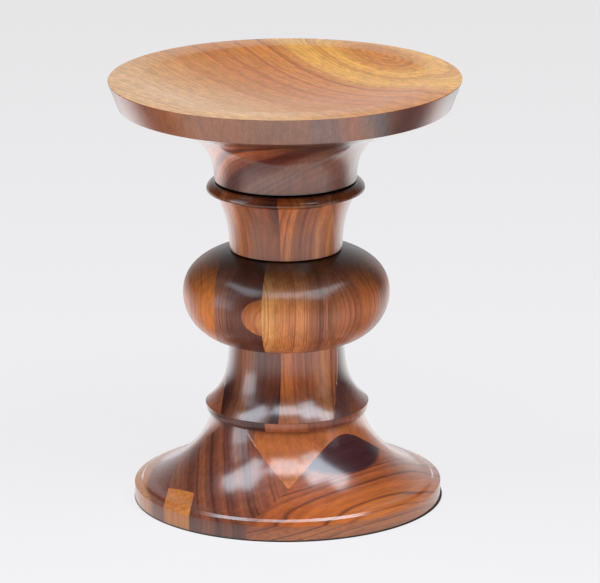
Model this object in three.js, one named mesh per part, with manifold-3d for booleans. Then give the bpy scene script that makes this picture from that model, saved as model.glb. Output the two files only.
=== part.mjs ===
// A turned stool in solid walnut, in millimetres, +Z up.
// The origin is on the floor, under the middle of the foot.
// It is five turned sections stacked on one axis, with a loose round tenon across each joint.
// Each section except the seat and the cove under it is glued up from boards before turning,
// so its seams are flat upright planes, and each board is a piece of its own here.

import * as THREE from 'three';
import { mergeVertices } from 'three/addons/utils/BufferGeometryUtils.js';
import Module from 'manifold-3d';

const wasm = await Module();
wasm.setup();

// Foot: a low wall, a rounded shoulder and a hollow flare up to the collar
const footRadius = 142.4;
const footWallHeight = 7.5;
const footShoulderRadius = 120.2;
const footShoulderHeight = 23.3;
const footShoulderSlope = 27;
const footShoulderRoundRise = 11.5;
const footShoulderRoundReach = 13.2;
const footFlareReach = 26;
const footFlareRise = 24.2;
const footFlareLean = 10;
const footTopRadius = 70.4;
const footHeight = 81.2;

// Collar: a thin turned disc with a quarter-round edge that widens upwards
const collarHeight = 9.4;
const collarLowRadius = 70.8;
const collarHighRadius = 75.1;

// Lower neck: a straight neck that flares to a sharp edge over the collar
const lowerNeckHeight = 62;
const lowerNeckRadius = 53.6;
const lowerNeckEdgeRadius = 75.6;
const lowerNeckLip = 0.6;
const lowerNeckFlareReach = 24.5;
const lowerNeckFlareSlope = 33.6;
const lowerNeckRise = 24.8;

// Bulge: the round swelling at half height
const bulgeHeight = 85;
const bulgeRadius = 95.5;
const bulgeWaistHeight = 43.9;
const bulgeLowRadius = 53.8;
const bulgeLowReach = 22.7;
const bulgeLowSlope = 5.6;
const bulgeLowRise = 23.7;
const bulgeHighRadius = 51.5;
const bulgeHighReach = 22.6;
const bulgeHighSlope = 14.6;
const bulgeHighRise = 25.5;

// Upper neck: a cup that flares up to a ring with a round back and a sharp lower edge
const upperNeckHeight = 65.4;
const upperNeckRadius = 52.2;
const upperNeckBevel = 1.3;
const upperNeckCupRadius = 64.2;
const upperNeckCupDrop = 12.5;
const upperNeckRise = 19.9;
const upperNeckCupReach = 18.9;
const upperNeckCupLean = 27.2;
const ringRadius = 72.9;
const ringEdgeDrop = 8.7;
const ringLip = 0.6;
const ringTopRadius = 66.4;
const ringTopDrop = 0.5;
const ringRise = 3.2;
const ringReach = 2.1;
const ringBottomLean = 10.3;
const ringTopSlope = 6.3;

// Cove: the hollow-sided block under the seat, with a shadow groove over the ring
const coveHeight = 55;
const coveLowRadius = 65.6;
const coveHighRadius = 106;
const coveRise = 28.4;
const coveReach = 28.7;
const coveTopSlope = 21.6;
const shadowGrooveDepth = 3.2;
const shadowGrooveHalfHeight = 1.2;

// Seat: a dished disc with an undercut rim
const seatRadius = 162;
const seatThickness = 40;
const rimHeight = 24.5;
const rimUndercut = 9.1;
const landWidth = 29;
const dishDepth = 11;

// Round tenons across the joints, and the socket room around them
const tenonRadius = 15;
const tenonDepth = 24;
const seatTenonDepth = 15;
const tenonBevel = 1.5;
const tenonClearance = 0.3;
const tenonEndClearance = 0.6;

// The glue line between two boards of one section
const glueLine = 0.3;

// Seams of the boards, as distances from the axis along X
const lowerNeckSeams = { left: 55, middle: 1.5, right: 50.2 };
const bulgeSeams = { left: 56.4, middle: 10.4, right: 48.6 };
const bulgeCapThickness = 4.7;
const upperNeckSeams = { middle: 1.5, right: 48.3 };
const collarSeams = { left: 10.9, middle: 28.2, right: 49.2 };

// Foot glue-up: a square core of three boards, turned on the axis, with boards on its faces
const coreAngle = -38.5;
const coreBoard = 46.5;
const coreFrontFace = 72.5;
const coreSideFace = 69;
const footEndBlockWidth = 40.4;
const sapwoodBlockWidth = 27;
const sapwoodBlockDepth = 26.9;

// Facets around the axis and steps along each curve
const facets = 64;
const curveSteps = 6;
const tenonFacets = 24;

// Heights of the joints above the floor
const collarBottom = footHeight;
const lowerNeckBottom = collarBottom + collarHeight;
const bulgeBottom = lowerNeckBottom + lowerNeckHeight;
const upperNeckBottom = bulgeBottom + bulgeHeight;
const coveBottom = upperNeckBottom + upperNeckHeight;
const seatBottom = coveBottom + coveHeight;
const seatTop = seatBottom + seatThickness;

// One overrun for every cut, longer than the stool is wide and tall
const overrun = seatTop + seatRadius + footRadius;

const radians = THREE.MathUtils.degToRad;
const point = (r, z) => new THREE.Vector2(r, z);

// A point at a distance from another, along a direction in degrees from straight outwards
function along(from, degrees, distance) {
  const angle = radians(degrees);
  return point(from.x + distance * Math.cos(angle), from.y + distance * Math.sin(angle));
}

// A Bezier stretch of an outline, with its two handles, as evenly spaced points
function stretch(start, startHandle, endHandle, end) {
  return new THREE.CubicBezierCurve(start, startHandle, endHandle, end).getPoints(curveSteps);
}

// A closed geometry as a solid, with shared corners and without the flat triangles at the axis
function solidFrom(geometry) {
  geometry.deleteAttribute('normal');
  geometry.deleteAttribute('uv');
  const merged = mergeVertices(geometry);
  const corners = merged.index.array;
  const kept = [];
  for (let i = 0; i < corners.length; i += 3) {
    const [a, b, c] = [corners[i], corners[i + 1], corners[i + 2]];
    if (a !== b && b !== c && c !== a) kept.push(a, b, c);
  }
  const vertProperties = new Float32Array(merged.attributes.position.array);
  return new wasm.Manifold(new wasm.Mesh({ numProp: 3, vertProperties, triVerts: new Uint32Array(kept) }));
}

// A section turned from an outline that runs up from the axis and back to it
function turned(outline, sides = facets) {
  const geometry = new THREE.LatheGeometry(outline, sides);
  geometry.rotateX(Math.PI / 2);
  return solidFrom(geometry);
}

// A round bar or hole along the axis between two heights
function bar(radius, low, high) {
  return turned([point(0, low), point(radius, low), point(radius, high), point(0, high)], tenonFacets);
}

// What lies between two upright planes, square to a direction in degrees from +X.
// Half the glue line comes off at each plane. An end left out is open.
function between(solid, low, high, degrees = 0) {
  const from = low === undefined ? -overrun : low + glueLine / 2;
  const to = high === undefined ? overrun : high - glueLine / 2;
  const box = new THREE.BoxGeometry(to - from, 2 * overrun, 2 * overrun);
  box.translate((from + to) / 2, 0, 0);
  box.rotateZ(radians(degrees));
  return solid.intersect(solidFrom(box));
}

// A socket for a round tenon, reaching down and up from a joint
function socket(low, high) {
  return bar(tenonRadius + tenonClearance, low - tenonEndClearance, high + tenonEndClearance);
}

const walnuts = {
  honey: [0xcf8a4c, 0.32],
  orange: [0xb9672f, 0.3],
  brown: [0x8a4a2e, 0.3],
  dark: [0x5c2f26, 0.28],
  sapwood: [0xd9954f, 0.32],
  rim: [0xa0664a, 0.34],
  dowel: [0xc9a878, 0.6],
};

const stool = new THREE.Group();

function addPiece(name, solid, walnut) {
  const { numProp, vertProperties, triVerts } = solid.getMesh();
  const geometry = new THREE.BufferGeometry();
  const positions = new Float32Array((vertProperties.length / numProp) * 3);
  for (let i = 0; i < positions.length / 3; i += 1) {
    positions.set(vertProperties.subarray(i * numProp, i * numProp + 3), i * 3);
  }
  geometry.setAttribute('position', new THREE.BufferAttribute(positions, 3));
  geometry.setIndex(new THREE.BufferAttribute(new Uint32Array(triVerts), 1));
  geometry.computeVertexNormals();
  const [color, roughness] = walnuts[walnut];
  const mesh = new THREE.Mesh(geometry, new THREE.MeshStandardMaterial({ color, roughness, metalness: 0 }));
  mesh.name = name;
  stool.add(mesh);
}

// Sockets, one across each joint
const footTenonLow = collarBottom - tenonDepth;
const footTenonHigh = lowerNeckBottom + tenonDepth;
const footSocket = socket(footTenonLow, footTenonHigh);
const bulgeLowSocket = socket(bulgeBottom - tenonDepth, bulgeBottom + tenonDepth);
const bulgeHighSocket = socket(upperNeckBottom - tenonDepth, upperNeckBottom + tenonDepth);
const coveLowSocket = socket(coveBottom - tenonDepth, coveBottom + tenonDepth);
const seatSocket = socket(seatBottom - tenonDepth, seatBottom + seatTenonDepth);

// Foot
function footSolid() {
  const wallTop = point(footRadius, footWallHeight);
  const shoulder = point(footShoulderRadius, footShoulderHeight);
  const top = point(footTopRadius, footHeight);
  const round = stretch(
    wallTop,
    along(wallTop, 90, footShoulderRoundRise),
    along(shoulder, -footShoulderSlope, footShoulderRoundReach),
    shoulder,
  );
  const flare = stretch(
    shoulder,
    along(shoulder, 180 - footShoulderSlope, footFlareReach),
    along(top, footFlareLean - 90, footFlareRise),
    top,
  );
  const outline = [point(0, 0), point(footRadius, 0), ...round, ...flare.slice(1), point(0, footHeight)];
  return turned(outline).subtract(footSocket);
}

const foot = footSolid();
const sideAngle = coreAngle - 90;
const coreBackFace = coreFrontFace - 3 * coreBoard;
const sapwoodBlockLeft = footRadius - footEndBlockWidth;
const sapwoodBlockRight = sapwoodBlockLeft - sapwoodBlockWidth;
const outerLayer = footRadius - sapwoodBlockDepth;
const footEnd = between(foot, undefined, -sapwoodBlockLeft);
const footRest = between(foot, -sapwoodBlockLeft, undefined);
const footMiddle = between(footRest, coreBackFace, coreFrontFace, coreAngle);
const footSide = between(footMiddle, coreSideFace, undefined, sideAngle);
const footOuterLayer = between(footSide, outerLayer, undefined, sideAngle);
const sapwoodBlock = between(footOuterLayer, undefined, -sapwoodBlockRight);
const footCore = between(footMiddle, -coreSideFace, coreSideFace, sideAngle);

// The room that the sapwood block and its glue lines take out of the board behind it
function sapwoodRoom() {
  const room = new THREE.BoxGeometry(overrun - sapwoodBlockRight, 2 * overrun, 2 * overrun);
  room.translate(-(overrun + sapwoodBlockRight) / 2 + glueLine / 2, 0, 0);
  const layer = new THREE.BoxGeometry(overrun, 2 * overrun, 2 * overrun);
  layer.translate(outerLayer - glueLine / 2 + overrun / 2, 0, 0);
  layer.rotateZ(radians(sideAngle));
  return solidFrom(room).intersect(solidFrom(layer));
}

const coreFrontSeam = coreFrontFace - coreBoard;
const coreBackSeam = coreFrontSeam - coreBoard;
addPiece('foot_core_front', between(footCore, coreFrontSeam, undefined, coreAngle), 'orange');
addPiece('foot_core_middle', between(footCore, coreBackSeam, coreFrontSeam, coreAngle), 'brown');
addPiece('foot_core_back', between(footCore, undefined, coreBackSeam, coreAngle), 'brown');
addPiece('foot_board_front', between(footRest, coreFrontFace, undefined, coreAngle), 'orange');
addPiece('foot_board_left', footSide.subtract(sapwoodRoom()), 'brown');
addPiece('foot_board_right', between(footMiddle, undefined, -coreSideFace, sideAngle), 'orange');
addPiece('foot_board_back', between(footRest, undefined, coreBackFace, coreAngle), 'brown');
addPiece('foot_sapwood_block', sapwoodBlock, 'sapwood');
addPiece('foot_end_block', footEnd, 'dark');

// Collar
function collarSolid() {
  const edge = new THREE.EllipseCurve(
    collarLowRadius,
    collarBottom + collarHeight,
    collarHighRadius - collarLowRadius,
    collarHeight,
    -Math.PI / 2,
    0,
  ).getPoints(curveSteps);
  const outline = [point(0, collarBottom), ...edge, point(0, lowerNeckBottom)];
  return turned(outline).subtract(footSocket);
}

const collar = collarSolid();
addPiece('collar_left', between(collar, undefined, -collarSeams.left), 'dark');
addPiece('collar_middle', between(collar, -collarSeams.left, collarSeams.middle), 'orange');
addPiece('collar_middle_right', between(collar, collarSeams.middle, collarSeams.right), 'brown');
addPiece('collar_right', between(collar, collarSeams.right, undefined), 'dark');

// Lower neck
function lowerNeckSolid() {
  const edge = point(lowerNeckEdgeRadius, lowerNeckBottom + lowerNeckLip);
  const top = point(lowerNeckRadius, bulgeBottom);
  const flare = stretch(
    edge,
    along(edge, 180 - lowerNeckFlareSlope, lowerNeckFlareReach),
    along(top, -90, lowerNeckRise),
    top,
  );
  const base = [point(0, lowerNeckBottom), point(lowerNeckEdgeRadius, lowerNeckBottom)];
  const outline = [...base, ...flare, point(0, bulgeBottom)];
  return turned(outline).subtract(footSocket).subtract(bulgeLowSocket);
}

const lowerNeck = lowerNeckSolid();
addPiece('lower_neck_left', between(lowerNeck, undefined, -lowerNeckSeams.left), 'brown');
addPiece('lower_neck_middle_left', between(lowerNeck, -lowerNeckSeams.left, lowerNeckSeams.middle), 'dark');
const lowerNeckFront = between(lowerNeck, lowerNeckSeams.middle, lowerNeckSeams.right);
addPiece('lower_neck_middle_right', lowerNeckFront, 'orange');
addPiece('lower_neck_right', between(lowerNeck, lowerNeckSeams.right, undefined), 'dark');

// Bulge
function bulgeSolid() {
  const low = point(bulgeLowRadius, bulgeBottom);
  const waist = point(bulgeRadius, bulgeBottom + bulgeWaistHeight);
  const high = point(bulgeHighRadius, upperNeckBottom);
  const under = stretch(
    low,
    along(low, bulgeLowSlope, bulgeLowReach),
    along(waist, -90, bulgeLowRise),
    waist,
  );
  const over = stretch(
    waist,
    along(waist, 90, bulgeHighRise),
    along(high, -bulgeHighSlope, bulgeHighReach),
    high,
  );
  const outline = [point(0, bulgeBottom), ...under, ...over.slice(1), point(0, upperNeckBottom)];
  return turned(outline).subtract(bulgeLowSocket).subtract(bulgeHighSocket);
}

const bulge = bulgeSolid();
const bulgeCapFace = bulgeRadius - bulgeCapThickness;
const bulgeLeftMiddle = between(bulge, -bulgeSeams.left, -bulgeSeams.middle);
addPiece('bulge_left', between(bulge, undefined, -bulgeSeams.left), 'orange');
addPiece('bulge_middle_left', between(bulgeLeftMiddle, undefined, bulgeCapFace, -90), 'dark');
addPiece('bulge_cap', between(bulgeLeftMiddle, bulgeCapFace, undefined, -90), 'sapwood');
addPiece('bulge_middle_right', between(bulge, -bulgeSeams.middle, bulgeSeams.right), 'honey');
addPiece('bulge_right', between(bulge, bulgeSeams.right, undefined), 'brown');

// Upper neck with its ring
function upperNeckSolid() {
  const low = point(upperNeckRadius, upperNeckBottom + upperNeckBevel);
  const cup = point(upperNeckCupRadius, coveBottom - upperNeckCupDrop);
  const edge = point(ringRadius, coveBottom - ringEdgeDrop + ringLip);
  const crown = point(ringTopRadius, coveBottom - ringTopDrop);
  const neck = stretch(
    low,
    along(low, 90, upperNeckRise),
    along(cup, -90 - upperNeckCupLean, upperNeckCupReach),
    cup,
  );
  const ring = stretch(
    edge,
    along(edge, 90 - ringBottomLean, ringRise),
    along(crown, -ringTopSlope, ringReach),
    crown,
  );
  const outline = [
    point(0, upperNeckBottom),
    point(upperNeckRadius - upperNeckBevel, upperNeckBottom),
    ...neck,
    point(ringRadius, coveBottom - ringEdgeDrop),
    ...ring,
    point(coveLowRadius - shadowGrooveDepth, coveBottom),
    point(0, coveBottom),
  ];
  return turned(outline).subtract(bulgeHighSocket).subtract(coveLowSocket);
}

const upperNeck = upperNeckSolid();
addPiece('upper_neck_left', between(upperNeck, undefined, upperNeckSeams.middle), 'brown');
addPiece('upper_neck_middle', between(upperNeck, upperNeckSeams.middle, upperNeckSeams.right), 'orange');
addPiece('upper_neck_right', between(upperNeck, upperNeckSeams.right, undefined), 'brown');

// Cove
function coveSolid() {
  const low = point(coveLowRadius, coveBottom + shadowGrooveHalfHeight);
  const high = point(coveHighRadius, seatBottom);
  const hollow = stretch(
    low,
    along(low, 90, coveRise),
    along(high, 180 + coveTopSlope, coveReach),
    high,
  );
  const base = [point(0, coveBottom), point(coveLowRadius - shadowGrooveDepth, coveBottom)];
  const outline = [...base, ...hollow, point(0, seatBottom)];
  return turned(outline).subtract(coveLowSocket).subtract(seatSocket);
}

addPiece('seat_cove', coveSolid(), 'brown');

// Seat
function seatSolid() {
  const dishRadius = seatRadius - landWidth;
  const dish = [];
  for (let step = 0; step <= curveSteps; step += 1) {
    const share = 1 - step / curveSteps;
    dish.push(point(dishRadius * share, seatTop - dishDepth * (1 - share * share)));
  }
  const outline = [
    point(0, seatBottom),
    point(coveHighRadius, seatBottom),
    point(seatRadius - rimUndercut, seatTop - rimHeight),
    point(seatRadius, seatTop),
    ...dish,
  ];
  return turned(outline).subtract(seatSocket);
}

addPiece('seat_disc', seatSolid(), 'rim');

// Round tenons, with bevelled ends
function addTenon(name, low, high) {
  const outline = [
    point(0, low),
    point(tenonRadius - tenonBevel, low),
    point(tenonRadius, low + tenonBevel),
    point(tenonRadius, high - tenonBevel),
    point(tenonRadius - tenonBevel, high),
    point(0, high),
  ];
  addPiece(name, turned(outline, tenonFacets), 'dowel');
}

addTenon('foot_tenon', footTenonLow, footTenonHigh);
addTenon('bulge_lower_tenon', bulgeBottom - tenonDepth, bulgeBottom + tenonDepth);
addTenon('bulge_upper_tenon', upperNeckBottom - tenonDepth, upperNeckBottom + tenonDepth);
addTenon('cove_tenon', coveBottom - tenonDepth, coveBottom + tenonDepth);
addTenon('seat_tenon', seatBottom - tenonDepth, seatBottom + seatTenonDepth);

export default stool;
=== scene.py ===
# A turned stool in solid walnut, dressed around its fixed model.
# Sizes are in millimetres in the shapes and become metres in the meshes, +Z up.
# The camera, the floor and the lamps are in metres, and every angle is in degrees.
# After them, each section makes one turned section of the stool, from the floor upwards.

from math import radians

import bmesh
import bpy
import numpy as np
from mathutils import Matrix, Vector


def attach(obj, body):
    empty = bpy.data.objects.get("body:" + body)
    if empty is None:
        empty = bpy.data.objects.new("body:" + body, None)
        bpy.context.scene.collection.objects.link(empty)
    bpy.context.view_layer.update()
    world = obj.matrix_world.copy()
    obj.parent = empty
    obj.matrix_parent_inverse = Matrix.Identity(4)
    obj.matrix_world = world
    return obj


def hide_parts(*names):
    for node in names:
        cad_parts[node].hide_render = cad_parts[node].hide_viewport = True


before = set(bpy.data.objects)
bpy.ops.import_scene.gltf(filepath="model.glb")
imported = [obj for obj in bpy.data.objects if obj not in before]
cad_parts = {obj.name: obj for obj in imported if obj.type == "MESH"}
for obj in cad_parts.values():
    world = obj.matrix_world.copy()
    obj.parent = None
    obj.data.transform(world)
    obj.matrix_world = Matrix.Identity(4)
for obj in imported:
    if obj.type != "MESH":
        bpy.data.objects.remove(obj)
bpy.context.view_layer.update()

# The camera stands in front of the stool and looks down on it from head height.
# Its long lens keeps the turned edges nearly as flat as in a side view.
camera_side = 7.5
camera_distance = 4.4273
camera_height = 1.4512
camera_dip = 15.836
camera_swing = -0.163
camera_roll = -0.340
camera_lens = 299.07
camera_sensor = 36

stool_turn = Matrix.Rotation(radians(camera_side), 4, "Z")
camera_data = bpy.data.cameras.new("camera")
camera_data.lens = camera_lens
camera_data.sensor_fit = "HORIZONTAL"
camera_data.sensor_width = camera_sensor
camera = bpy.data.objects.new("camera", camera_data)
camera.matrix_world = (
    stool_turn
    @ Matrix.Translation((0, -camera_distance, camera_height))
    @ Matrix.Rotation(radians(camera_swing), 4, "Z")
    @ Matrix.Rotation(radians(90 - camera_dip), 4, "X")
    @ Matrix.Rotation(radians(camera_roll), 4, "Z")
)
bpy.context.scene.collection.objects.link(camera)
bpy.context.scene.camera = camera
bpy.context.scene.view_settings.view_transform = "Standard"


# The floor is a sheet of white paper, and the room behind it is as pale.
# In front of the stool the room above the floor is dark, as a studio is behind its camera.


def node(tree, kind, inputs=(), output=0, **settings):
    """One shader node. The inputs, by place or by name, are links or plain values."""
    made = tree.nodes.new(kind)
    for key, value in settings.items():
        setattr(made, key, value)
    for key, value in inputs.items() if isinstance(inputs, dict) else enumerate(inputs):
        if isinstance(value, bpy.types.NodeSocket):
            tree.links.new(value, made.inputs[key])
        else:
            made.inputs[key].default_value = value
    return made.outputs[output] if made.outputs else made


def sums(tree, operation, *values):
    """A Math node."""
    return node(tree, "ShaderNodeMath", values, operation=operation)


def vectors(tree, operation, *values, output=0):
    """A Vector Math node. Its second output, 1, is the number that a length or a product gives."""
    return node(tree, "ShaderNodeVectorMath", values, output=output, operation=operation)


def scaled(tree, vector, factor):
    """A vector or a colour, times a number."""
    return node(tree, "ShaderNodeVectorMath", {0: vector, 3: factor}, operation="SCALE")


def placed(tree, place, **frame_of_pattern):
    """A place as seen from a pattern's own frame, given by its Location, Rotation or Scale."""
    return node(tree, "ShaderNodeMapping", {"Vector": place, **frame_of_pattern}, vector_type="TEXTURE")


def either(tree, choice, first, last):
    """The first number where the choice is 0, and the last where it is 1."""
    return node(tree, "ShaderNodeMix", {0: choice, 2: first, 3: last}, data_type="FLOAT")


def paint(red, green, blue):
    """A colour as a screen shows it, from 0 to 255, as the light that the shader works with."""
    share = np.array([red, green, blue]) / 255
    light = np.where(share > 0.04045, ((share + 0.055) / 1.055) ** 2.4, share / 12.92)
    return (*light.tolist(), 1)


def fade(tree, value, start, end, first=0.0, last=1.0):
    """A number that goes from the first to the last while the value goes from start to end."""
    limits = {"From Min": start, "From Max": end, "To Min": first, "To Max": last}
    return node(tree, "ShaderNodeMapRange", {"Value": value, **limits})


def ramp(tree, value, stops):
    """A colour that changes with a value: the stops are (value, colour), in rising order."""
    low, high = stops[0][0], stops[-1][0]
    output = node(tree, "ShaderNodeValToRGB", [fade(tree, value, low, high)])
    elements = output.node.color_ramp.elements
    elements.remove(elements[1])
    for number, (at, colour) in enumerate(stops):
        share = (at - low) / (high - low)
        element = elements.new(share) if number else elements[0]
        element.position = share
        element.color = colour
    return output


floor_reach = 9
floor_paint = paint(247, 245, 246)
floor_lit = paint(225, 224, 224)[:3]
floor_glow = 0.82
bounce_near = 0.4
bounce_far = 1.5
front_light = 1.15
side_light = 0.28
rear_light = 1.75
far_rear_light = 1.1
near_light = 0.95
# A painted shadow ring on the paper round the foot: its middle's shift, its inner and outer reach, and
# the light left in it.
contact_shadow_shift = (0.0006, -0.0001, 0)
contact_shadow_inside = 0.1429
contact_shadow_outside = 0.1438
contact_shadow_light = 0.04

floor_mesh = bpy.data.meshes.new("floor")
corners = [(x, y, 0) for x, y in ((-1, -1), (1, -1), (1, 1), (-1, 1))]
floor_mesh.from_pydata([Vector(c) * floor_reach for c in corners], [], [(0, 1, 2, 3)])
floor = bpy.data.objects.new("floor", floor_mesh)
bpy.context.scene.collection.objects.link(floor)

# In the polish the paper's glow is painted by place: it is white in front of the stool and close
# to its foot, brighter behind it, and dim to the sides and far away.
paper = bpy.data.materials.new("paper")
paper.use_nodes = True
tree = paper.node_tree
tree.nodes.clear()
rays = node(tree, "ShaderNodeLightPath").node.outputs
place = node(tree, "ShaderNodeTexCoord", output=3)
place = placed(tree, place, Rotation=(0, 0, radians(camera_side)))
reach = vectors(tree, "LENGTH", place, output=1)
beyond = node(tree, "ShaderNodeSeparateXYZ", [place], output=1)
facing = sums(tree, "DIVIDE", beyond, reach)
front = fade(tree, facing, -0.1, -0.45, side_light, front_light)
rear = sums(
    tree,
    "MINIMUM",
    fade(tree, facing, 0.2, 0.6, 0.0, rear_light),
    fade(tree, facing, 0.8, 1.0, rear_light, far_rear_light),
)
span = sums(
    tree, "MINIMUM", fade(tree, reach, 0.2, 0.45, 0.55, 1.0), fade(tree, reach, 0.8, 1.5, 1.0, 0.5)
)
mirrored = sums(tree, "MULTIPLY", sums(tree, "MAXIMUM", front, rear), span)
mirrored = sums(tree, "MAXIMUM", mirrored, fade(tree, reach, 0.16, 0.22, near_light, 0.0))
# The paper also glows as a lamp on the stool, brighter than white far out, and dimmer close to the
# foot, a painted shade of the stool's own shadow.
bounce = fade(tree, reach, 0.12, 0.5, bounce_near, bounce_far)
strength = either(tree, rays["Is Diffuse Ray"], 1.0, bounce)
strength = either(tree, rays["Is Glossy Ray"], strength, mirrored)
share = sums(tree, "MAXIMUM", rays["Is Glossy Ray"], rays["Is Diffuse Ray"])
share = sums(tree, "MAXIMUM", share, rays["Is Transmission Ray"])
share = sums(tree, "MAXIMUM", share, sums(tree, "MULTIPLY", rays["Is Camera Ray"], floor_glow))

# A painted shadow: the paper is dark in a thin ring under the edge of the foot.
under = vectors(tree, "LENGTH", vectors(tree, "SUBTRACT", place, contact_shadow_shift), output=1)
under = fade(tree, under, contact_shadow_inside, contact_shadow_outside, contact_shadow_light, 1.0)
strength = sums(tree, "MULTIPLY", strength, under)
lit = node(tree, "ShaderNodeBsdfDiffuse", {"Color": scaled(tree, floor_lit, under)})
glow = node(tree, "ShaderNodeEmission", {"Color": floor_paint, "Strength": strength})
node(tree, "ShaderNodeOutputMaterial", [node(tree, "ShaderNodeMixShader", [share, lit, glow])])
floor_mesh.materials.append(paper)

room_paint = paint(240, 240, 242)
room_glow = 0.03
room = bpy.data.worlds.new("room")
room.use_nodes = True
bpy.context.scene.world = room
tree = room.node_tree
tree.nodes.clear()
toward = node(tree, "ShaderNodeTexCoord")
back = stool_turn @ Vector((0.07, 1, 0)).normalized()
depth = vectors(tree, "DOT_PRODUCT", toward, back, output=1)
pale = sums(tree, "POWER", fade(tree, depth, 0.6, 1.0), 2.0)
rays = node(tree, "ShaderNodeLightPath").node.outputs
strength = sums(tree, "MAXIMUM", rays["Is Camera Ray"], sums(tree, "ADD", pale, room_glow))
node(tree, "ShaderNodeOutputWorld", [node(tree, "ShaderNodeBackground", [room_paint, strength])])

# Bright panels hang high over the stool, in a horseshoe to the left, the front and the right.
# Upright panels stand low down at both sides.
panel_tint = (0.78, 0.89, 1)


def panel(name, middle, width, length, brightness, turn=0, lean=0):
    """A flat lamp that is equally bright all over. It shines straight down, unless the lean
    tips it up towards the stool, and the turn swings it about the upright."""
    lamp = bpy.data.lights.new(name, "AREA")
    lamp.shape = "RECTANGLE"
    lamp.size = width
    lamp.size_y = length
    lamp.energy = brightness * np.pi * width * length
    lamp.color = panel_tint
    holder = bpy.data.objects.new(name, lamp)
    holder.visible_camera = False
    swing = Matrix.Rotation(radians(turn), 4, "Z") @ Matrix.Rotation(radians(lean), 4, "X")
    holder.matrix_world = stool_turn @ Matrix.Translation(middle) @ swing
    bpy.context.scene.collection.objects.link(holder)


panel("panel_left", (-1.5, -0.5, 2.3), 0.7, 2.1, 5.6)
panel("panel_left_inner", (-1.02, -0.5, 2.3), 0.34, 1.15, 5.6)
panel("panel_front", (-0.1, -1.5, 2.3), 1.4, 1.0, 5.8)
panel("panel_right_inner", (0.86, -0.95, 2.3), 0.52, 1.2, 7.2)
panel("panel_right", (1.46, -0.65, 2.3), 0.72, 2.0, 6.4)
panel("panel_right_front", (1.5, -1.95, 2.3), 1.4, 0.6, 5.0)
panel("panel_side", (-1.93, -0.6, 0.42), 0.9, 0.9, 3.4, turn=-73, lean=90)
panel("panel_side_upper", (-1.93, -0.6, 1.38), 0.9, 1.0, 1.4, turn=-73, lean=90)
panel("panel_edge", (1.9, -0.75, 0.5), 0.7, 1.2, 0.5, turn=68, lean=90)

# The foot is a bell-shaped block turned from a square core of three boards,
# with more boards glued on the faces of the core. The seams are flat and upright.
mm = 0.001
facets = 256
curve_steps = 20
polish_angle = 35
ease_steps = 6
seam = 0.02
late_wood = (0.42, 0.30, 0.30)
knot_stain = (0.11, 0.12, 0.7)
knot_strength = 0.9
own_wood = Vector((0.37, 0.73, 0.11))


def bezier(start, start_handle, end_handle, end):
    """A curve from start to end: the four points weighted by the cubic Bernstein terms."""
    t = np.linspace(0, 1, curve_steps)[:, None]
    s = 1 - t
    points = [np.array(p, float) for p in (start, start_handle, end_handle, end)]
    return s**3 * points[0] + 3 * s**2 * t * points[1] + 3 * s * t**2 * points[2] + t**3 * points[3]


def along(start, degrees, distance):
    """The point at a distance from another, in a direction in degrees from straight outwards."""
    angle = radians(degrees)
    return np.array(start) + distance * np.array([np.cos(angle), np.sin(angle)])


def eased(before, corner, after, ease):
    """A corner worn round: a parabola that leaves each side at a distance from the corner."""
    t = np.linspace(0, 1, ease_steps)[:, None]
    before, corner, after = (np.array(p, float) for p in (before, corner, after))
    start = corner + ease * (before - corner) / np.linalg.norm(before - corner)
    end = corner + ease * (after - corner) / np.linalg.norm(after - corner)
    return (1 - t) ** 2 * start + 2 * t * (1 - t) * corner + t**2 * end


def turned(*outline):
    """A closed skin turned about the axis: x is radius times cosine of the angle, y is radius
    times sine, and z is the height. The outline is points (radius, height) in order, upwards."""
    radius, height = np.vstack([np.atleast_2d(stretch) for stretch in outline]).T[:, :, None]
    angle = np.linspace(0, 2 * np.pi, facets, endpoint=False)
    grid = np.stack([radius * np.cos(angle), radius * np.sin(angle), height + 0 * angle], -1)
    corner = np.arange(grid.shape[0] * facets).reshape(-1, facets)
    beside = np.roll(corner, -1, 1)
    faces = np.stack([corner[:-1], beside[:-1], beside[1:], corner[1:]], -1).reshape(-1, 4)
    skin = bmesh.new()
    mesh = bpy.data.meshes.new("turning")
    mesh.from_pydata(grid.reshape(-1, 3) * mm, [], faces)
    skin.from_mesh(mesh)
    bpy.data.meshes.remove(mesh)
    bmesh.ops.remove_doubles(skin, verts=skin.verts, dist=mm / 500)
    return skin


def sawn(skin, cuts):
    """What a saw leaves of a skin: each cut is (direction in degrees from +X, distance from the
    axis), and what lies beyond it goes. Each cut face is closed flat."""
    for degrees, distance in cuts:
        out = Vector((np.cos(radians(degrees)), np.sin(radians(degrees)), 0))
        cut = bmesh.ops.bisect_plane(
            skin,
            geom=[*skin.verts, *skin.edges, *skin.faces],
            dist=mm / 1000,
            plane_co=out * distance * mm,
            plane_no=out,
            clear_outer=True,
        )
        edges = [part for part in cut["geom_cut"] if isinstance(part, bmesh.types.BMEdge)]
        filled = bmesh.ops.holes_fill(skin, edges=edges)
        bmesh.ops.triangulate(skin, faces=filled["faces"])
    return skin


def made_object(name, skin):
    """A scene object of the skin, with its faces turned outwards."""
    bmesh.ops.recalc_face_normals(skin, faces=skin.faces)
    mesh = bpy.data.meshes.new(name + "_shape")
    skin.to_mesh(mesh)
    skin.free()
    made = bpy.data.objects.new(name, mesh)
    bpy.context.scene.collection.objects.link(made)
    return made


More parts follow.
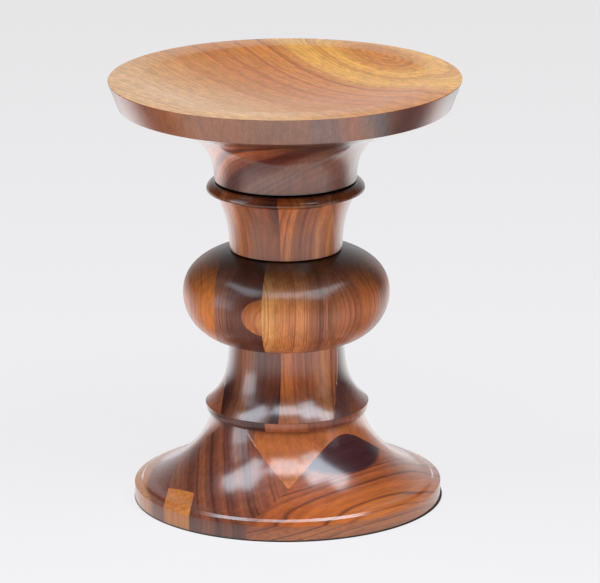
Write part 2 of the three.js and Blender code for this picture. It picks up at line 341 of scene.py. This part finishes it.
def notched(skin, block):
    """What is left of a skin once the room of another is cut out of it."""
    board = made_object("board", skin)
    room_left = made_object("room_left", block)
    cut = board.modifiers.new("cut", "BOOLEAN")
    cut.operation = "DIFFERENCE"
    cut.solver = "EXACT"
    cut.object = room_left
    left = bmesh.new()
    left.from_object(board, bpy.context.evaluated_depsgraph_get())
    for scrap in (board, room_left):
        mesh = scrap.data
        bpy.data.objects.remove(scrap)
        bpy.data.meshes.remove(mesh)
    return left


def piece(name, skin, material):
    """A finished piece in place of its plain solid, made of the skin."""
    made = made_object(name + "_piece", skin)
    made.data.shade_smooth()
    made.data.set_sharp_from_angle(angle=radians(polish_angle))
    made.data.materials.append(material)
    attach(made, "root")
    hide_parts(name)
    return made


def grey(level):
    """A grey colour, from 0, black, to 1, white."""
    return (level, level, level, 1)


def blended(tree, share, under, over):
    """The first colour, covered by a share of the second."""
    return node(tree, "ShaderNodeMix", {0: share, 6: under, 7: over}, output=2, data_type="RGBA")


def walnut(
    name,
    heart,
    bands,
    ring=5.0,
    lines=0.6,
    wander=3.0,
    wave=70.0,
    fibre_turn=(0, 0, 0),
    tilt=(0, 0, 0),
    gloss=(1.0, 0.17, 1.75),
    shadow=(),
    knot=None,
):
    """Polished walnut. The growth rings lie round a line through the heart (x, y, z), upright
    unless tilt turns it, and fibre_turn turns the fibres in the same way. The bands are
    (distance from the heart, colour), ring is the distance between two dark lines, and lines is
    how dark they are. The rings wander by some millimetres in waves of about the given length.
    The gloss is the lacquer's (weight, roughness, refraction). The shadow is painted shade in
    the colour, (height, share of the light lost), and the knot is a dark patch (middle, turn,
    half its size each way)."""
    material = bpy.data.materials.new(name)
    material.use_nodes = True
    tree = material.node_tree
    tree.nodes.clear()
    place = node(tree, "ShaderNodeTexCoord", output=3)
    fibre = placed(
        tree,
        place,
        Location=own_wood * len(bpy.data.materials),
        Rotation=[radians(angle) for angle in fibre_turn],
    )
    long_fibre = vectors(tree, "MULTIPLY", fibre, (1, 1, 0.25))
    drift = {"Vector": long_fibre, "Scale": 1000 / wave, "Detail": 2.0, "Roughness": 0.45}
    drift = node(tree, "ShaderNodeTexNoise", drift, output=1)
    drift = vectors(tree, "SUBTRACT", drift, (0.5, 0.5, 0.5))
    drifted = vectors(tree, "ADD", place, scaled(tree, drift, 4 * wander * mm))
    turn = [radians(angle) for angle in tilt]
    ringed = placed(tree, drifted, Location=Vector(heart) * mm, Rotation=turn)
    age = vectors(tree, "LENGTH", vectors(tree, "MULTIPLY", ringed, (1000, 1000, 0)), output=1)
    colour = ramp(tree, age, [(at, paint(*tone)) for at, tone in bands])

    # The dark lines at the end of each year's growth, some strong and some faint
    years = sums(tree, "DIVIDE", age, ring)
    uneven = {"W": years, "Scale": 0.23, "Detail": 1.0}
    uneven = node(tree, "ShaderNodeTexNoise", uneven, noise_dimensions="1D")
    year = sums(tree, "FRACT", sums(tree, "MULTIPLY_ADD", uneven, 3.0, years))
    late = ramp(tree, year, [(0, grey(0)), (0.45, grey(0.08)), (0.9, grey(1)), (1, grey(0))])
    hard = {"W": years, "Scale": 0.41, "Detail": 2.0}
    hard = node(tree, "ShaderNodeTexNoise", hard, noise_dimensions="1D")
    hard = fade(tree, hard, 0.4, 0.62, 0.25)
    patchy = {"Vector": long_fibre, "Scale": 30.0, "Detail": 2.0, "Roughness": 0.6}
    patchy = fade(tree, node(tree, "ShaderNodeTexNoise", patchy), 0.3, 0.6, 0.45)
    dark = sums(tree, "MULTIPLY", late, hard)
    dark = sums(tree, "MULTIPLY", dark, sums(tree, "MULTIPLY", patchy, lines))
    colour = blended(tree, dark, colour, vectors(tree, "MULTIPLY", colour, late_wood))

    # The fibres and the pores, short dark dashes along the grain
    thread = vectors(tree, "MULTIPLY", fibre, (1, 1, 0.05))
    for scale, low, high in ((220.0, 0.82, 1.15), (900.0, 0.86, 1.12)):
        fibres = node(tree, "ShaderNodeTexNoise", {"Vector": thread, "Scale": scale, "Detail": 2.0})
        colour = scaled(tree, colour, fade(tree, fibres, 0.3, 0.7, low, high))
    if knot:
        middle, swing, size = knot
        blot = placed(
            tree,
            drifted,
            Location=Vector(middle) * mm,
            Rotation=(0, 0, radians(swing)),
            Scale=Vector(size) * mm,
        )
        blot = fade(tree, vectors(tree, "LENGTH", blot, output=1), 1.04, 0.9, 0.0, knot_strength)
        colour = blended(tree, blot, colour, vectors(tree, "MULTIPLY", colour, knot_stain))
    # Painted shade: the colour loses the shadow's share of light, height by height.
    if shadow:
        height = node(tree, "ShaderNodeSeparateXYZ", [place], output=2)
        depth = ramp(tree, height, [(at * mm, grey(1 - lost)) for at, lost in shadow])
        colour = vectors(tree, "MULTIPLY", colour, depth)
    bump = node(tree, "ShaderNodeBump", {"Height": fibres, "Distance": 0.00004, "Strength": 0.25})
    surface = node(
        tree,
        "ShaderNodeBsdfPrincipled",
        {
            "Base Color": colour,
            "Roughness": fade(tree, patchy, 0, 1, 0.30, 0.38),
            "Normal": bump,
            "Specular IOR Level": 0.15,
            "Coat Weight": gloss[0],
            "Coat Roughness": gloss[1],
            "Coat IOR": gloss[2],
        },
    )
    node(tree, "ShaderNodeOutputMaterial", [surface])
    return material


def between(degrees, low, high):
    """The two cuts that leave what lies between two distances along a direction."""
    return [(degrees, high - seam), (degrees + 180, -low - seam)]


foot_radius = 142.4
foot_corner = (foot_radius, 14.3)
foot_step_low = (136.2, 16.2)
foot_step_high = (134.1, 18.6)
foot_flat = (128.5, 20.1)
foot_flat_slope = 13
foot_flat_reach = 3
foot_shoulder = (120.2, 23.3)
foot_slope = 27
foot_shoulder_reach = 4
foot_flare_reach = 26
foot_flare_rise = 24.2
foot_top = (70.4, 81.2)
foot_lean = 10
socket_radius = 15.3
socket_depth = 24.6
floor_ease = 0.8
step_ease = 0.3

# A fine step is turned on the shoulder, just inside the sharp edge above the floor.
foot_outline = [
    (0, 0),
    eased((0, 0), (foot_radius, 0), foot_corner, floor_ease),
    foot_corner,
    eased(foot_corner, foot_step_low, foot_step_high, step_ease),
    eased(foot_step_low, foot_step_high, foot_shoulder, step_ease),
    bezier(
        foot_flat,
        along(foot_flat, 180 - foot_flat_slope, foot_flat_reach),
        along(foot_shoulder, -foot_slope, foot_shoulder_reach),
        foot_shoulder,
    ),
    bezier(
        foot_shoulder,
        along(foot_shoulder, 180 - foot_slope, foot_flare_reach),
        along(foot_top, foot_lean - 90, foot_flare_rise),
        foot_top,
    )[1:],
    (socket_radius, foot_top[1]),
    (socket_radius, foot_top[1] - socket_depth),
    (0, foot_top[1] - socket_depth),
]

# The boards of the core are square to the direction core_front, and the blocks to +X.
# Painted shade: the foot's lowest 1.7 mm are darkened where it meets the floor.
foot_shadow = [(0.6, 0.9), (1.7, 0), (90, 0)]
core_front = -38.5
core_side = core_front - 90
core_face = 72.5
core_board = 46.5
core_half = 69
outer_layer = 115.5
sapwood_left = 102
sapwood_right = 75

core_cuts = between(core_side, -core_half, core_half)
whole_core = between(core_front, core_face - 3 * core_board, core_face)
not_end = (180, sapwood_left - seam)
sapwood_cuts = [(core_side + 180, -outer_layer - seam), (0, -sapwood_right - seam), not_end]
sapwood_room = [(core_side + 180, -outer_layer + seam), (0, -sapwood_right + seam)]
room_reach = 160
room_low = -10
room_high = 30

piece(
    "foot_core_front",
    sawn(turned(*foot_outline), core_cuts + between(core_front, core_face - core_board, core_face)),
    walnut(
        "core_front",
        (-40, 330, 0),
        [(300, (186, 102, 54)), (400, (194, 106, 56)), (440, (204, 114, 58))],
        ring=9,
        lines=0.35,
        shadow=foot_shadow,
    ),
)
piece(
    "foot_core_middle",
    sawn(
        turned(*foot_outline),
        core_cuts + between(core_front, core_face - 2 * core_board, core_face - core_board),
    ),
    walnut(
        "core_middle",
        (-40, 330, 0),
        [(250, (160, 92, 62)), (440, (150, 86, 60))],
        ring=6,
        shadow=foot_shadow,
    ),
)
piece(
    "foot_core_back",
    sawn(
        turned(*foot_outline),
        core_cuts + between(core_front, core_face - 3 * core_board, core_face - 2 * core_board),
    ),
    walnut(
        "core_back",
        (60, 330, 0),
        [(250, (140, 82, 60)), (440, (160, 90, 62))],
        ring=6,
        shadow=foot_shadow,
    ),
)
piece(
    "foot_board_front",
    sawn(turned(*foot_outline), [(core_front + 180, -core_face - seam), not_end]),
    walnut(
        "board_front",
        (0, 0, -270),
        [
            (268, (186, 106, 62)),
            (279.6, (206, 116, 56)),
            (280.6, (136, 70, 46)),
            (281.4, (204, 110, 52)),
            (286, (214, 118, 56)),
            (287, (168, 86, 46)),
            (288, (212, 116, 54)),
            (291.8, (208, 112, 52)),
            (292.5, (122, 62, 42)),
            (293.6, (200, 106, 50)),
            (299, (198, 102, 48)),
            (302.7, (182, 92, 46)),
            (303.4, (96, 48, 38)),
            (304.4, (172, 86, 46)),
            (307.6, (192, 100, 50)),
            (308.4, (140, 70, 44)),
            (310.8, (182, 92, 48)),
            (311.6, (104, 54, 42)),
            (312.4, (172, 86, 48)),
            (322, (160, 82, 48)),
            (360, (186, 100, 56)),
        ],
        ring=6,
        lines=0.5,
        wander=2.2,
        fibre_turn=(90, 0, core_front),
        tilt=(90, 0, core_front + 90),
        knot=((72.9, -52.8, 58.5), core_front, (100, 57, 18)),
        shadow=foot_shadow,
    ),
)
piece(
    "foot_board_left",
    notched(
        sawn(turned(*foot_outline), whole_core + [(core_side + 180, -core_half - seam), not_end]),
        sawn(
            turned((0, room_low), (room_reach, room_low), (room_reach, room_high), (0, room_high)),
            sapwood_room,
        ),
    ),
    walnut(
        "board_left",
        (156.5, -39.9, 0),
        [
            (160, (152, 80, 50)),
            (170, (156, 82, 52)),
            (176, (130, 66, 44)),
            (182, (148, 78, 50)),
            (190, (110, 56, 42)),
            (198, (150, 82, 54)),
            (206, (106, 54, 42)),
            (214, (148, 80, 52)),
            (222, (104, 54, 42)),
            (230, (154, 86, 56)),
            (240, (110, 58, 44)),
            (252, (148, 82, 54)),
            (270, (120, 66, 48)),
        ],
        ring=5,
        lines=0.9,
        shadow=foot_shadow,
    ),
)
piece(
    "foot_board_right",
    sawn(turned(*foot_outline), whole_core + [(core_side, -core_half - seam)]),
    walnut(
        "board_right",
        (-200, 60, 0),
        [(250, (180, 104, 66)), (350, (198, 120, 76))],
        ring=7,
        shadow=foot_shadow,
    ),
)
piece(
    "foot_board_back",
    sawn(turned(*foot_outline), [(core_front, core_face - 3 * core_board - seam), not_end]),
    walnut(
        "board_back",
        (-100, -160, 0),
        [(200, (140, 82, 62)), (350, (152, 90, 64))],
        ring=6,
        shadow=foot_shadow,
    ),
)
piece(
    "foot_sapwood_block",
    sawn(turned(*foot_outline), sapwood_cuts),
    walnut(
        "sapwood",
        (-100, -400, 0),
        [(260, (222, 142, 72)), (300, (206, 120, 58)), (330, (214, 128, 62))],
        ring=8,
        lines=0.25,
        shadow=foot_shadow,
    ),
)
piece(
    "foot_end_block",
    sawn(turned(*foot_outline), [(0, -sapwood_left - seam)]),
    walnut(
        "end_block",
        (60, -20, 0),
        [(160, (120, 62, 46)), (186, (134, 70, 48)), (189, (204, 124, 68)), (210, (210, 130, 74))],
        ring=6,
        lines=0.5,
        shadow=foot_shadow,
    ),
)

# The collar is a thin disc on top of the foot, with a rounded edge.
# It is glued up from four boards, and a loose round tenon passes through its middle.
collar_reach = 70.8
collar_bulge = 4.3
collar_top = 90.6
edge_steps = 12
collar_seams = (-10.9, 28.2, 49.2)


def columns(*seams):
    """The cuts for each of the boards that stand side by side, parted by upright seams."""
    edges = [-2 * foot_radius, *seams, 2 * foot_radius]
    return [between(0, low, high) for low, high in zip(edges, edges[1:])]


edge_angle = np.radians(np.linspace(-90, 0, edge_steps))
collar_edge = [
    collar_reach + collar_bulge * np.cos(edge_angle),
    collar_top + (collar_top - foot_top[1]) * np.sin(edge_angle),
]
collar_outline = [
    (socket_radius, collar_top),
    (socket_radius, foot_top[1]),
    np.transpose(collar_edge),
    (socket_radius, collar_top),
]
collar_boards = {
    "collar_left": (
        "walnut_dark",
        (-200, 0, 0),
        [(147, (104, 48, 38)), (171, (114, 62, 50)), (190, (74, 28, 24))],
        5,
        0.8,
    ),
    "collar_middle": (
        "walnut_orange",
        (10, 200, 0),
        [(200, (192, 106, 62)), (290, (188, 104, 60))],
        4,
        0.4,
    ),
    "collar_middle_right": (
        "walnut_brown",
        (250, 0, 0),
        [(213, (150, 70, 38)), (222, (156, 80, 44)), (235, (140, 56, 26))],
        5,
        0.7,
    ),
    "collar_right": (
        "walnut_dark",
        (250, 0, 0),
        [(183, (180, 84, 36)), (192, (174, 80, 36)), (200, (132, 56, 30)), (210, (116, 52, 32))],
        5,
        0.7,
    ),
}
for (name, (slot, heart, bands, ring, lines)), cuts in zip(
    collar_boards.items(), columns(*collar_seams)
):
    skin = sawn(turned(*collar_outline), cuts)
    piece(name, skin, walnut(name, heart, bands, ring, lines))

# The lower neck flares down to a sharp edge over the collar.
# It is glued up from four boards with upright grain.
lower_neck_edge = (75.6, 91.2)
lower_neck_ease = 0.5
flare_slope = 38
flare_reach = 24.5
lower_neck_rise = 24.8
lower_neck_top = (53.6, 152.6)
lower_neck_seams = (-55, 1.5, 50.2)
lower_neck_outline = [
    (0, collar_top + socket_depth),
    (socket_radius, collar_top + socket_depth),
    (socket_radius, collar_top),
    eased((0, collar_top), (lower_neck_edge[0], collar_top), lower_neck_edge, lower_neck_ease),
    bezier(
        lower_neck_edge,
        along(lower_neck_edge, 180 - flare_slope, flare_reach),
        along(lower_neck_top, -90, lower_neck_rise),
        lower_neck_top,
    ),
    (socket_radius, lower_neck_top[1]),
    (socket_radius, lower_neck_top[1] - socket_depth),
    (0, lower_neck_top[1] - socket_depth),
]
lower_neck_gloss = (1.0, 0.2, 1.75)
# Painted shade on the flare of the two middle boards, darkest near the edge under the bulge.
flare_shadow = [(91, 0.55), (108, 0.58), (118, 0.35), (128, 0.1), (136, 0), (152, 0)]
lower_neck_boards = {
    "lower_neck_left": (
        "walnut_brown",
        (-200, 0, 0),
        [(120, (176, 100, 60)), (146, (150, 80, 48)), (170, (120, 58, 40))],
        5,
        0.8,
    ),
    "lower_neck_middle_left": (
        "walnut_dark",
        (-200, 0, 0),
        [
            (150, (94, 36, 22)),
            (158, (116, 54, 32)),
            (163, (150, 82, 54)),
            (168, (164, 92, 56)),
            (174, (188, 106, 56)),
            (179, (188, 104, 54)),
            (182, (164, 92, 50)),
            (186, (136, 76, 50)),
            (194, (126, 68, 52)),
            (202, (144, 74, 46)),
            (206, (136, 68, 50)),
            (210, (88, 38, 28)),
        ],
        4,
        0.8,
    ),
    "lower_neck_middle_right": (
        "walnut_orange",
        (140, -16, 0),
        [
            (90, (202, 116, 58)),
            (94, (204, 118, 74)),
            (98, (230, 144, 90)),
            (102, (230, 140, 82)),
            (110, (208, 118, 68)),
            (114, (196, 108, 62)),
            (122, (204, 112, 68)),
            (126, (192, 104, 58)),
            (130, (208, 112, 64)),
            (134, (230, 128, 70)),
            (138, (238, 134, 64)),
            (143, (222, 126, 68)),
        ],
        5,
        0.9,
    ),
    "lower_neck_right": (
        "walnut_dark",
        (140, -16, 0),
        [(74, (130, 70, 48)), (79, (108, 66, 52)), (84, (92, 52, 46)), (100, (96, 48, 38))],
        5,
        0.6,
    ),
}
for (name, (slot, heart, bands, ring, lines)), cuts in zip(
    lower_neck_boards.items(), columns(*lower_neck_seams)
):
    skin = sawn(turned(*lower_neck_outline), cuts)
    shadow = flare_shadow if "middle" in name else ()
    wood = walnut(name, heart, bands, ring, lines, gloss=lower_neck_gloss, shadow=shadow)
    piece(name, skin, wood)

# The bulge is a round swelling between the two necks, glued up from four boards.
# At the front, left of the middle, its left middle board has a lens of pale sapwood on it.
bulge_low = (53.8, 152.6)
bulge_low_slope = 5.6
bulge_low_reach = 22.7
bulge_low_rise = 23.7
bulge_waist = (95.5, 196.5)
bulge_high_rise = 25.5
bulge_high_reach = 22.6
bulge_high_slope = 14.6
bulge_high = (51.5, 237.6)
bulge_seams = (-56.4, -10.4, 48.6)
cap_seam = 90.8
bulge_outline = [
    (0, bulge_low[1] + socket_depth),
    (socket_radius, bulge_low[1] + socket_depth),
    (socket_radius, bulge_low[1]),
    bezier(
        bulge_low,
        along(bulge_low, bulge_low_slope, bulge_low_reach),
        along(bulge_waist, -90, bulge_low_rise),
        bulge_waist,
    ),
    bezier(
        bulge_waist,
        along(bulge_waist, 90, bulge_high_rise),
        along(bulge_high, -bulge_high_slope, bulge_high_reach),
        bulge_high,
    )[1:],
    (socket_radius, bulge_high[1]),
    (socket_radius, bulge_high[1] - socket_depth),
    (0, bulge_high[1] - socket_depth),
]
bulge_gloss = (0.4, 0.2, 1.6)
# Painted shade: a thin dark band at the joint below, and the top of the bulge darkened more and more up
# to the neck, where the seat shades it.
bulge_shadow = [
    (153.2, 0.9),
    (154.4, 0),
    (192, 0),
    (200, 0.12),
    (207, 0.28),
    (213, 0.42),
    (219, 0.58),
    (225, 0.7),
    (231, 0.82),
    (237, 0.93),
]
left, middle_left, middle_right, right = columns(*bulge_seams)
bulge_boards = {
    "bulge_left": (
        left,
        "walnut_orange",
        (-260, -60, 0),
        [(178, (176, 94, 46)), (183, (194, 110, 54)), (192, (216, 122, 54)), (204, (216, 124, 56))],
        4,
        0.6,
    ),
    "bulge_middle_left": (
        middle_left + [(-90, cap_seam - seam)],
        "walnut_dark",
        (-220, 0, 0),
        [
            (180, (166, 104, 78)),
            (188, (160, 98, 72)),
            (198, (116, 64, 48)),
            (215, (108, 56, 42)),
            (225, (98, 50, 40)),
        ],
        2.6,
        1.0,
    ),
    "bulge_cap": (
        middle_left + [(90, -cap_seam - seam)],
        "walnut_sapwood",
        (-4, -93, 190),
        [(8, (214, 140, 84)), (14, (200, 120, 66)), (18, (194, 114, 62)), (24, (172, 96, 52))],
        3.5,
        0.6,
    ),
    "bulge_middle_right": (
        middle_right,
        "walnut_honey",
        (-62, -104, 0),
        [
            (52, (236, 164, 94)),
            (61, (234, 158, 90)),
            (65, (214, 134, 76)),
            (72, (224, 140, 82)),
            (78, (206, 124, 76)),
            (82, (216, 134, 80)),
            (88, (224, 142, 88)),
            (93, (206, 128, 80)),
            (96, (164, 100, 64)),
            (101, (176, 108, 74)),
            (104, (132, 74, 54)),
            (108, (172, 104, 74)),
            (114, (192, 118, 82)),
        ],
        2.4,
        1.0,
    ),
    "bulge_right": (
        right,
        "walnut_brown",
        (90, -20, 0),
        [
            (2, (150, 72, 28)),
            (12, (172, 96, 50)),
            (20, (196, 108, 56)),
            (28, (176, 98, 54)),
            (34, (200, 112, 60)),
            (42, (160, 88, 54)),
            (52, (186, 106, 64)),
            (72, (156, 92, 60)),
        ],
        5,
        0.9,
    ),
}
for name, (cuts, slot, heart, bands, ring, lines) in bulge_boards.items():
    skin = sawn(turned(*bulge_outline), cuts)
    tilt = (90, 0, 0) if name == "bulge_cap" else (0, 0, 0)
    wood = walnut(name, heart, bands, ring, lines, tilt=tilt, gloss=bulge_gloss, shadow=bulge_shadow)
    piece(name, skin, wood)

# The upper neck opens upwards into a cup with a ring round its top.
# It is glued up from three boards with upright grain.
upper_neck_foot = (50.9, 237.6)
upper_neck_low = (52.2, 238.9)
upper_neck_rise = 19.9
cup_reach = 18.9
cup_lean = 27.2
upper_neck_cup = (64.2, 290.5)
ring_under = (72.9, 294.3)
ring_edge = (72.9, 294.9)
ring_edge_lean = 10.3
ring_rise = 3.2
ring_reach = 2.1
ring_crown_slope = 6.3
ring_crown = (66.4, 302.5)
upper_neck_top = 303.0
upper_neck_seams = (1.5, 48.3)
cove_foot = 62.4
upper_neck_outline = [
    (0, upper_neck_foot[1] + socket_depth),
    (socket_radius, upper_neck_foot[1] + socket_depth),
    (socket_radius, upper_neck_foot[1]),
    upper_neck_foot,
    bezier(
        upper_neck_low,
        along(upper_neck_low, 90, upper_neck_rise),
        along(upper_neck_cup, -90 - cup_lean, cup_reach),
        upper_neck_cup,
    ),
    ring_under,
    bezier(
        ring_edge,
        along(ring_edge, 90 - ring_edge_lean, ring_rise),
        along(ring_crown, -ring_crown_slope, ring_reach),
        ring_crown,
    ),
    (cove_foot, upper_neck_top),
    (socket_radius, upper_neck_top),
    (socket_radius, upper_neck_top - socket_depth),
    (0, upper_neck_top - socket_depth),
]
neck_gloss = (0.85, 0.17, 1.75)
# Painted shade: a thin dark band at the joint with the bulge, the ring darkened by about half, and the
# groove under the cove darker still.
neck_shadow = [(238.2, 0.9), (239.3, 0), (290.5, 0), (294.6, 0.5), (301.3, 0.4), (302.4, 0.9)]
upper_neck_boards = {
    "upper_neck_left": (
        "walnut_brown",
        (-150, 60, 0),
        [
            (142, (174, 90, 42)),
            (150, (206, 122, 66)),
            (154, (180, 96, 44)),
            (162, (174, 98, 48)),
            (170, (152, 80, 36)),
            (184, (152, 76, 34)),
            (194, (106, 44, 26)),
        ],
        6,
        0.7,
    ),
    "upper_neck_middle": (
        "walnut_orange",
        (100, 30, 0),
        [
            (76, (180, 88, 38)),
            (82, (210, 128, 58)),
            (88, (190, 108, 58)),
            (92, (192, 112, 66)),
            (98, (210, 126, 64)),
            (101, (184, 102, 50)),
            (104, (168, 86, 38)),
            (110, (172, 92, 46)),
            (116, (152, 78, 36)),
            (122, (180, 98, 46)),
            (124, (214, 122, 54)),
            (130, (208, 112, 46)),
            (135, (190, 96, 38)),
        ],
        7,
        0.9,
    ),
    "upper_neck_right": (
        "walnut_brown",
        (100, 30, 0),
        [(50, (166, 90, 42)), (78, (176, 92, 40)), (90, (166, 84, 36))],
        6,
        0.8,
    ),
}
for (name, (slot, heart, bands, ring, lines)), cuts in zip(
    upper_neck_boards.items(), columns(*upper_neck_seams)
):
    skin = sawn(turned(*upper_neck_outline), cuts)
    wood = walnut(name, heart, bands, ring, lines, gloss=neck_gloss, shadow=neck_shadow)
    piece(name, skin, wood)

# The cove is one hollow-sided block under the seat, with a strongly whorled figure.
# A groove parts it from the ring below, and painted shade darkens the wood beside it.
cove_low = (65.6, 304.2)
cove_rise = 28.4
cove_reach = 28.7
cove_top_slope = 21.6
cove_top = (106, 358)
cove_outline = [
    (0, upper_neck_top + socket_depth),
    (socket_radius, upper_neck_top + socket_depth),
    (socket_radius, upper_neck_top),
    (cove_foot, upper_neck_top),
    bezier(
        cove_low,
        along(cove_low, 90, cove_rise),
        along(cove_top, 180 + cove_top_slope, cove_reach),
        cove_top,
    ),
    (socket_radius, cove_top[1]),
    (socket_radius, cove_top[1] - socket_depth),
    (0, cove_top[1] - socket_depth),
]
piece(
    "seat_cove",
    turned(*cove_outline),
    walnut(
        "cove",
        (0, -75, 250),
        [
            (33, (132, 76, 54)),
            (46, (140, 80, 56)),
            (54, (136, 90, 72)),
            (64, (134, 88, 70)),
            (69, (112, 54, 40)),
            (80, (98, 42, 30)),
            (85, (146, 74, 50)),
            (90, (160, 84, 50)),
            (96, (206, 112, 56)),
            (100, (142, 68, 42)),
            (103, (124, 56, 36)),
            (107, (196, 98, 50)),
            (116, (206, 102, 50)),
            (130, (196, 100, 50)),
        ],
        ring=5,
        lines=0.7,
        wander=3.5,
        wave=60,
        tilt=(0, 60, 10),
        # Painted shade in the groove at the cove's foot.
        shadow=[(304.2, 0.9), (305.3, 0), (360, 0)],
    ),
)

# The seat is one dished board, cut from beside the heart of the tree.
# Its rings cross the whole top in wide arcs, and its rim and underside are browner.
# The level land round the dish is painted a little paler than the dish itself, as a painted sheen.
seat_radius = 162
seat_top = 398
seat_under = 373.5
seat_under_radius = 152.9
dish_radius = 133
dish_depth = 11
seat_socket_top = 373.6
seat_ease = 0.9
dish_steps = 40
rim_tilt = 0.8
land_depth = 0.5

# The dish is a bowl whose depth falls with the square of the radius.
dish = np.linspace(dish_radius, 0, dish_steps)[:, None]
dish = np.hstack([dish, seat_top - dish_depth * (1 - (dish / dish_radius) ** 2)])
seat_outline = [
    (0, seat_socket_top),
    (socket_radius, seat_socket_top),
    (socket_radius, cove_top[1]),
    (cove_top[0], cove_top[1]),
    eased(cove_top, (seat_under_radius, seat_under), (seat_radius, seat_top), seat_ease),
    eased((seat_under_radius, seat_under), (seat_radius, seat_top), (dish_radius, seat_top), seat_ease),
    dish,
]
seat_lean = (0, 67.5, 130.9)
seat_heart = (77.4, 103.1, seat_top)
seat_bands = [
    (0, (224, 134, 46)),
    (12, (218, 128, 42)),
    (24, (226, 142, 48)),
    (28, (244, 166, 66)),
    (36, (244, 166, 64)),
    (40.5, (222, 140, 50)),
    (43, (244, 168, 66)),
    (60, (246, 170, 72)),
    (66, (226, 142, 62)),
    (73, (216, 124, 44)),
    (75.5, (184, 94, 30)),
    (78, (220, 130, 52)),
    (89, (220, 126, 42)),
    (93, (220, 130, 54)),
    (96, (196, 100, 32)),
    (99, (216, 124, 46)),
    (112, (214, 124, 48)),
    (117, (190, 98, 34)),
    (120, (212, 120, 46)),
    (140, (210, 120, 44)),
    (152, (216, 132, 54)),
    (164, (202, 118, 46)),
    (170, (218, 136, 64)),
    (200, (222, 150, 82)),
    (240, (228, 166, 106)),
]
# The pale tone of the painted sheen on the land.
paler = np.array([240, 190, 140])
land_sheen = 0.12


def seat_figure(name, sheen_share):
    """The seat's wood. Its last argument paints a sheen: it takes the tones a share of the way to a
    paler one.
    """
    tones = [(at, np.array(tone) * (1 - sheen_share) + paler * sheen_share) for at, tone in seat_bands]
    return walnut(
        name,
        seat_heart,
        tones,
        ring=4,
        lines=0.7,
        wander=2.2,
        wave=110,
        gloss=(0.4, 0.2, 1.5),
        tilt=seat_lean,
        fibre_turn=seat_lean,
    )


seat_wood = seat_figure("seat", 0)
land_sheen_wood = seat_figure("seat_land_sheen", land_sheen)
rim_wood = walnut(
    "rim",
    (-400, -60, 0),
    [
        (296, (140, 66, 28)),
        (310, (146, 74, 32)),
        (324, (152, 80, 32)),
        (350, (146, 84, 44)),
        (386, (148, 86, 54)),
        (408, (138, 88, 62)),
        (450, (138, 91, 66)),
        (458, (124, 91, 82)),
        (469, (128, 91, 80)),
        (478, (148, 93, 72)),
        (488, (150, 89, 62)),
        (497, (124, 86, 68)),
        (506, (94, 74, 73)),
        (513, (100, 46, 24)),
        (524, (90, 30, 14)),
        (534, (104, 32, 14)),
        (545, (126, 62, 32)),
    ],
    ring=1.7,
    lines=0.3,
    wander=1.0,
    wave=30,
)
seat = piece("seat_disc", turned(*seat_outline), seat_wood)
seat.data.materials.append(rim_wood)
seat.data.materials.append(land_sheen_wood)

# The faces that don't look up are rim wood, and the level ones outside the dish get the land's painted
# sheen.
for face in seat.data.polygons:
    if face.normal.z < rim_tilt:
        face.material_index = 1
    elif face.center.z > (seat_top - land_depth) * mm and face.center.xy.length > dish_radius * mm:
        face.material_index = 2

# Loose round tenons hold the turned sections together along the axis.
# They are plain straight-grained wood and can't be seen once the stool is glued up.
tenon_wood = walnut(
    "tenon_wood", (150, 0, 0), [(130, (206, 164, 116)), (170, (196, 152, 104))], ring=3, lines=0.3
)
for name in ("foot_tenon", "bulge_lower_tenon", "bulge_upper_tenon", "cove_tenon", "seat_tenon"):
    for slot in bpy.data.objects[name].material_slots:
        slot.material = tenon_wood
